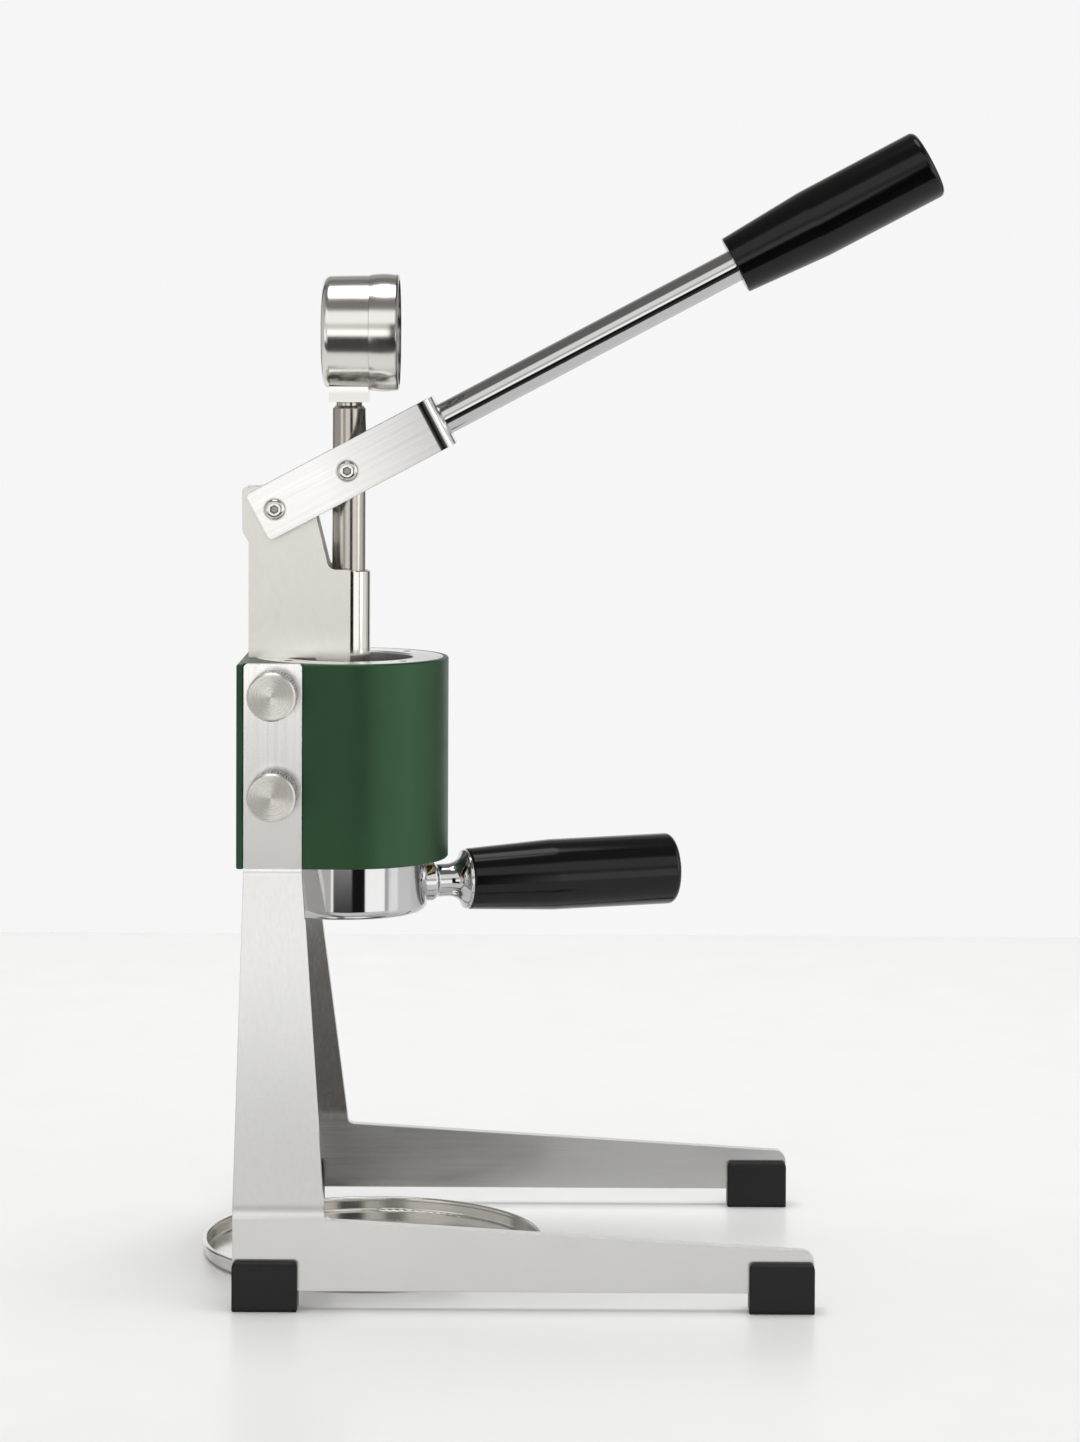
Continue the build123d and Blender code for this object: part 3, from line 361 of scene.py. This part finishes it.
# Painted on as well: a fade along the arms, a dark stripe at the bend and a brighter end face.
along_lever = fork.part(fork.place(move=LEVER_PIVOT, turn=lever_turn), 0)
fork.shade(fork.span(along_lever, 0.95, 0.60, *FORK_FADE))
fork.shade(fork.span(along_lever, 1.0, 1.6, FORK_BEND + 0.0012, FORK_BEND + 0.0018))
bend = fork.math("ABSOLUTE", fork.math("SUBTRACT", along_lever, FORK_BEND))
fork.shade(fork.span(bend, 0.12, 1.0, 0.0011, 0.0016))
# Painted shade darkens the fork's narrow gaps too.
fork.hollows(0.0012, 0.4)
keep(
    "tray_steel",
    turned(
        "tray_steel", (0.74, 0.72, 0.69), 0.12, TRAY_CENTRE, 2, pitch=0.0011, depth=0.00001
    ),
)

dial = keep("gauge_dial", Surface("gauge_dial", (0.86, 0.86, 0.84), 0.0, 0.5))
dial.tint(dial.noise(120.0, detail=4.0), (0.3, 0.97), (0.7, 1.0))
dial.bump(dial.noise(3000.0), 0.05, 0.00002)

glass = keep("gauge_glass", Surface("gauge_glass", (1.0, 1.0, 1.0), 0.0, 0.02))
glass.set(Transmission_Weight=1.0, IOR=1.45)
glass.gloss(glass.noise(60.0, detail=4.0), 0.01, 0.05)

keep("chrome", polished("chrome", (0.56, 0.56, 0.565), 0.05, smudge=0.03, uneven=0.0))
grips = keep("black_grip", moulded("black_grip", (0.0026, 0.0026, 0.0028), 0.15))
grips.set(Specular_IOR_Level=0.25, Coat_Weight=0.1, Coat_Roughness=0.06)
marks = keep("dial_marks", moulded("dial_marks", (0.015, 0.015, 0.016), 0.6))

# Nodes whose surface differs from the rest of their slot.
OWN_SURFACE = {"lever_fork": "fork_steel"}
for part in frame["record"]["subparts"]:
    wanted = OWN_SURFACE.get(part["node"], part["material_slot"])
    for material_slot in nodes[part["node"]].material_slots:
        material_slot.link = "DATA"
        material_slot.material = MATERIALS[wanted].material


# ---------------------------------------------------------------- the gauge's printed scale
def mesh_object(name, vertices, faces):
    mesh = bpy.data.meshes.new(name)
    mesh.from_pydata(vertices, [], faces)
    mesh.update()
    made = bpy.data.objects.new(name, mesh)
    scene.collection.objects.link(made)
    return made


def dial_point(angle, radius, lift):
    """A point on the dial: angle in degrees from +Y towards +Z, lift in front of its face."""
    turn = math.radians(angle)
    return (DIAL_FACE + lift, radius * math.cos(turn), GAUGE_Z + radius * math.sin(turn))


MARK_BACK, MARK_FRONT = 0.00001, 0.00006


def dial_bar(angle, start, end, half_width, vertices, faces):
    """Adds one raised radial bar to the lists."""
    first = len(vertices)
    for lift in (MARK_BACK, MARK_FRONT):
        for radius in (start, end):
            for side in (-1, 1):
                spread = math.degrees(side * half_width / radius)
                vertices.append(dial_point(angle + spread, radius, lift))
    quads = ((0, 1, 3, 2), (4, 6, 7, 5), (0, 4, 5, 1), (2, 3, 7, 6), (0, 2, 6, 4), (1, 5, 7, 3))
    faces.extend(tuple(first + corner for corner in quad) for quad in quads)


SCALE_TOP = 16
TICKS_PER_UNIT = 2
MAJOR_START, MINOR_START, TICK_END = 0.0150, 0.0162, 0.0177
MAJOR_HALF, MINOR_HALF = 0.00028, 0.00013
ARC_STEPS, ARC_RADIUS, ARC_WIDTH, ARC_STEP_HALF = 135, 0.0178, 0.0002, 0.00033
NUMBER_SIZE, NUMBER_RADIUS, NUMBER_DEPTH, NUMBER_LIFT = 0.0038, 0.0126, 0.00003, 0.00004
bars = ([], [])
for tick in range(SCALE_TOP * TICKS_PER_UNIT + 1):
    angle = POINTER_START - POINTER_SWEEP * tick / (SCALE_TOP * TICKS_PER_UNIT)
    major = tick % (2 * TICKS_PER_UNIT) == 0
    start, half = (MAJOR_START, MAJOR_HALF) if major else (MINOR_START, MINOR_HALF)
    dial_bar(angle, start, TICK_END, half, *bars)
for step in range(ARC_STEPS):
    angle = POINTER_START - POINTER_SWEEP * (step + 0.5) / ARC_STEPS
    dial_bar(angle, ARC_RADIUS, ARC_RADIUS + ARC_WIDTH, ARC_STEP_HALF, *bars)
scale_marks = mesh_object("dial_scale", *bars)

number_vertices, number_faces = [], []
for value in range(0, SCALE_TOP + 1, 2):
    text = bpy.data.curves.new("dial_number", "FONT")
    text.body = str(value)
    text.size = NUMBER_SIZE
    text.extrude = NUMBER_DEPTH
    text.align_x, text.align_y = "CENTER", "CENTER"
    carrier = bpy.data.objects.new("dial_number", text)
    scene.collection.objects.link(carrier)
    bpy.context.view_layer.update()
    flat = bpy.data.meshes.new_from_object(carrier)
    spot = dial_point(POINTER_START - POINTER_SWEEP * value / SCALE_TOP, NUMBER_RADIUS, NUMBER_LIFT)
    first = len(number_vertices)
    for vertex in flat.vertices:
        x, y, z = vertex.co
        number_vertices.append((spot[0] + z, spot[1] + x, spot[2] + y))
    number_faces.extend(tuple(first + i for i in face.vertices) for face in flat.polygons)
    bpy.data.objects.remove(carrier)
numbers = mesh_object("dial_numbers", number_vertices, number_faces)

for piece in (scale_marks, numbers):
    piece.data.materials.append(marks.material)
    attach(piece, "rod")

# ---------------------------------------------------------------- the handles, turned finely
def rounded_corners(points, radii, steps=12):
    """The path through the points, with an arc of each radius at the corner that it belongs to."""
    path = [Vector(points[0])]
    for before, corner, after, radius in zip(points, points[1:], points[2:], radii):
        before, corner, after = Vector(before), Vector(corner), Vector(after)
        if not radius:
            path.append(corner)
            continue
        back, ahead = (before - corner).normalized(), (after - corner).normalized()
        half = back.angle(ahead) / 2
        centre = corner + (back + ahead).normalized() * radius / math.sin(half)
        reach = radius / math.tan(half)
        first = (corner + back * reach - centre).normalized()
        last = (corner + ahead * reach - centre).normalized()
        for step in range(steps + 1):
            path.append(centre + radius * first.slerp(last, step / steps))
    path.append(Vector(points[-1]))
    return path


def lathe(name, path, origin, direction, segments=180):
    """Turns a path of (along, radius) points in millimetres about the direction from the origin."""
    aim = Vector((1, 0, 0)).rotation_difference(Vector(direction))
    vertices, faces = [], []
    for along, radius in path:
        for step in range(segments):
            turn = 2 * math.pi * step / segments
            spot = Vector((along, radius * math.cos(turn), radius * math.sin(turn))) / 1000
            vertices.append(Vector(origin) + aim @ spot)
    for ring in range(len(path) - 1):
        for step in range(segments):
            near, far = ring * segments, (ring + 1) * segments
            after = (step + 1) % segments
            faces.append((near + step, near + after, far + after, far + step))
    made = mesh_object(name, vertices, faces)
    made.data.validate()
    made.data.shade_smooth()
    made.data.set_sharp_from_angle(angle=math.radians(30))
    return made


STUD, ROD = 4.0, 6.0
AXIS_POINT = 0.001
ROD_STUD_START, ROD_SHOULDER, GRIP_START = 30.6, 39.9, 160.5
STUD_REACH, GRIP_LENGTH, GRIP_TAPER = 35.0, 80.8, 32.5
GRIP_SWELL, GRIP_ROUNDS = 0.15, (0.7, 40.0, 2.5)
POUR_LIFT = math.radians(0.6)
POUR_GRIP_START = 46.0
lever_direction = (math.cos(LEVER_ANGLE), 0, math.sin(LEVER_ANGLE))
pour_direction = (
    math.cos(POUR_ANGLE) * math.cos(POUR_LIFT),
    math.sin(POUR_ANGLE) * math.cos(POUR_LIFT),
    math.sin(POUR_LIFT),
)


def grip_path(start, start_radius, end_radius):
    end = start + GRIP_LENGTH
    shoulder = (start + GRIP_TAPER, end_radius - GRIP_SWELL)
    corners = [(start, STUD), (start, start_radius), shoulder, (end, end_radius), (end, AXIS_POINT)]
    return rounded_corners(corners, GRIP_ROUNDS)


rod_path = [
    (ROD_STUD_START, AXIS_POINT),
    (ROD_STUD_START, STUD),
    (ROD_SHOULDER, STUD),
    (ROD_SHOULDER, ROD),
    (GRIP_START, ROD),
    (GRIP_START, STUD),
    (GRIP_START + STUD_REACH, STUD),
    (GRIP_START + STUD_REACH, AXIS_POINT),
]
LEVER_GRIP_RADII, POUR_GRIP_RADII = (10.95, 13.1), (11.3, 13.35)
fine_rod = lathe("fine_lever_rod", rod_path, LEVER_PIVOT, lever_direction)
lever_grip_path = grip_path(GRIP_START, *LEVER_GRIP_RADII)
pour_grip_path = grip_path(POUR_GRIP_START, *POUR_GRIP_RADII)
fine_lever_grip = lathe("fine_lever_grip", lever_grip_path, LEVER_PIVOT, lever_direction)
fine_pour_grip = lathe("fine_portafilter_grip", pour_grip_path, POUR_CENTRE, pour_direction)
for piece, node, body, slot in (
    (fine_rod, "lever_rod", "lever", "chrome"),
    (fine_lever_grip, "lever_grip", "lever", "black_grip"),
    (fine_pour_grip, "portafilter_grip", "portafilter", "black_grip"),
):
    piece.data.materials.append(MATERIALS[slot].material)
    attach(piece, body)
    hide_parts(node)

# ---------------------------------------------------------------- floor, world and lights
FLOOR_BACK = 0.736
FLOOR_FRONT, FLOOR_SIDE = -0.40, 1.1
floor_corners = [
    (-FLOOR_SIDE, FLOOR_FRONT, 0),
    (FLOOR_SIDE, FLOOR_FRONT, 0),
    (FLOOR_SIDE, FLOOR_BACK, 0),
    (-FLOOR_SIDE, FLOOR_BACK, 0),
]
floor = mesh_object("studio_floor", floor_corners, [(0, 1, 2, 3)])
floor_surface = Surface("studio_floor", (0.80, 0.80, 0.80), 0.0, 0.32)
floor_surface.gloss(floor_surface.noise(30.0, detail=4.0), 0.28, 0.36)
floor_surface.set(Specular_IOR_Level=0.35)
# Painted shade: the floor grows slightly darker over its last 3 cm towards its back edge.
floor_depth = floor_surface.part(floor_surface.here, 1)
back_edge_shade = floor_surface.span(floor_depth, 0.0, 1.0, FLOOR_BACK - 0.03, FLOOR_BACK, smooth=True)
floor_surface.tint(back_edge_shade, (0.0, 1.0), (1.0, 0.975))
floor.data.materials.append(floor_surface.material)


class Studio(Surface):
    """The room that the object stands in: pale walls, a dim ceiling and a dark side by the camera."""

    def __init__(self):
        self.world = bpy.data.worlds.new("studio")
        scene.world = self.world
        self.world.use_nodes = True
        self.tree = self.world.node_tree
        self.output = self.tree.nodes["Background"]
        direction = self.add("ShaderNodeTexCoord").outputs["Generated"]
        x, y, z = (self.part(direction, k) for k in range(3))
        turn = self.math("ARCTAN2", x, self.math("MULTIPLY", y, -1.0))
        self.azimuth = self.math("MULTIPLY", turn, 180 / math.pi)
        self.height = self.math("MULTIPLY", self.math("ARCSINE", z), 180 / math.pi)

    def zone(self, value, middle, half, soft):
        """1 within half of the middle, falling to 0 over soft degrees."""
        away = self.math("ABSOLUTE", self.math("SUBTRACT", value, middle))
        return self.span(away, 1.0, 0.0, half, half + soft, smooth=True)

    def mix(self, share, under, over):
        made = self.add("ShaderNodeMix", data_type="RGBA")
        for socket, shade in ((made.inputs[6], under), (made.inputs[7], over)):
            if isinstance(shade, tuple):
                socket.default_value = (*shade, 1)
            else:
                self.join(shade, socket)
        self.join(share, made.inputs[0])
        return made.outputs[2]


studio = Studio()
WHITE = (1.0, 1.0, 1.0)
SIDE_WALL = (0.62, 0.62, 0.61)
SIDE_BOX = (1.05, 1.05, 1.05)
TOP_BOX = (2.6, 2.6, 2.58)
UPPER_WALL = (0.40, 0.395, 0.385)
CEILING = (0.20, 0.195, 0.185)
FRONT_WALL = (1.54, 1.54, 1.52)
FRONT_GAP = (0.70, 0.69, 0.67)
FRONT_BOX = (1.14, 1.14, 1.13)
ROOM_FLOOR = (0.055, 0.050, 0.044)
SIDE_FLOOR = (0.50, 0.50, 0.49)
DARK = (0.012, 0.011, 0.011)
SLOT = (0.12, 0.12, 0.12)

# Each layer covers the ones before it: middle and half width in azimuth, then in height, then
# how softly it ends, all in degrees, and its shade. Azimuth 0 is the camera's side and 90 is +X.
LAYERS = (
    ((0, 145), (0, 90), 4, SIDE_WALL),
    ((180, 180), (46, 20), 4, UPPER_WALL),
    ((86, 20), (20, 42), 5, SIDE_BOX),
    ((0, 56), (-5, 12), 3, FRONT_WALL),
    ((0, 56), (12, 4.5), 4, FRONT_GAP),
    ((0, 52), (30, 11), 4, FRONT_BOX),
    ((134, 8), (0, 50), 3, SLOT),
    ((-134, 8), (0, 50), 3, SLOT),
    ((180, 180), (72, 23), 5, CEILING),
    ((180, 180), (90, 16), 3, TOP_BOX),
    ((180, 180), (-55, 35), 2, SIDE_FLOOR),
    ((0, 60), (-54, 37), 3, ROOM_FLOOR),
    ((-32, 9), (-6, 12), 3, FRONT_GAP),
    ((18, 8), (-4, 19), 3, DARK),
    ((0, 17), (-13, 4), 3, DARK),
)
room = WHITE
for (turn, turn_half), (rise, rise_half), soft, shade in LAYERS:
    share = studio.zone(studio.height, rise, rise_half, soft)
    if turn_half < 180:
        share = studio.math("MULTIPLY", share, studio.zone(studio.azimuth, turn, turn_half, soft))
    room = studio.mix(share, room, shade)
seen = studio.add("ShaderNodeLightPath").outputs["Is Camera Ray"]
BACKDROP = (0.925, 0.925, 0.925)
studio.join(studio.mix(seen, room, BACKDROP), studio.output.inputs["Color"])


def softbox(name, place, target, width, depth, radiance, colour=(1, 1, 1)):
    data = bpy.data.lights.new(name, "AREA")
    data.shape = "RECTANGLE"
    data.size, data.size_y = width, depth
    data.energy = radiance * math.pi * width * depth
    data.color = colour
    lamp = bpy.data.objects.new(name, data)
    scene.collection.objects.link(lamp)
    lamp.location = place
    lamp.rotation_euler = (Vector(target) - Vector(place)).to_track_quat("-Z", "Y").to_euler()
    lamp.visible_camera = False
    return lamp


AIM = (0.05, 0.0, 0.15)
overhead = softbox("overhead_softbox", (0.0, 0.30, 1.9), (0.0, 0.30, 0.0), 1.5, 0.95, 4.4)
overhead.visible_glossy = False
softbox("side_softbox", (1.7, -0.55, 0.65), AIM, 0.5, 1.2, 1.5)

# ---------------------------------------------------------------- camera
camera = bpy.data.objects.new("camera", bpy.data.cameras.new("camera"))
scene.collection.objects.link(camera)
scene.camera = camera
camera.data.lens = 96.76
camera.data.sensor_width = 36.0
camera.data.shift_y = -0.19
camera.location = (0.07173, -1.42572, 0.34876)
camera.rotation_euler = [math.radians(turn) for turn in (88.0065, -0.2631, 0.0706)]
camera.data.clip_end = 50.0
scene.view_settings.view_transform = "Standard"
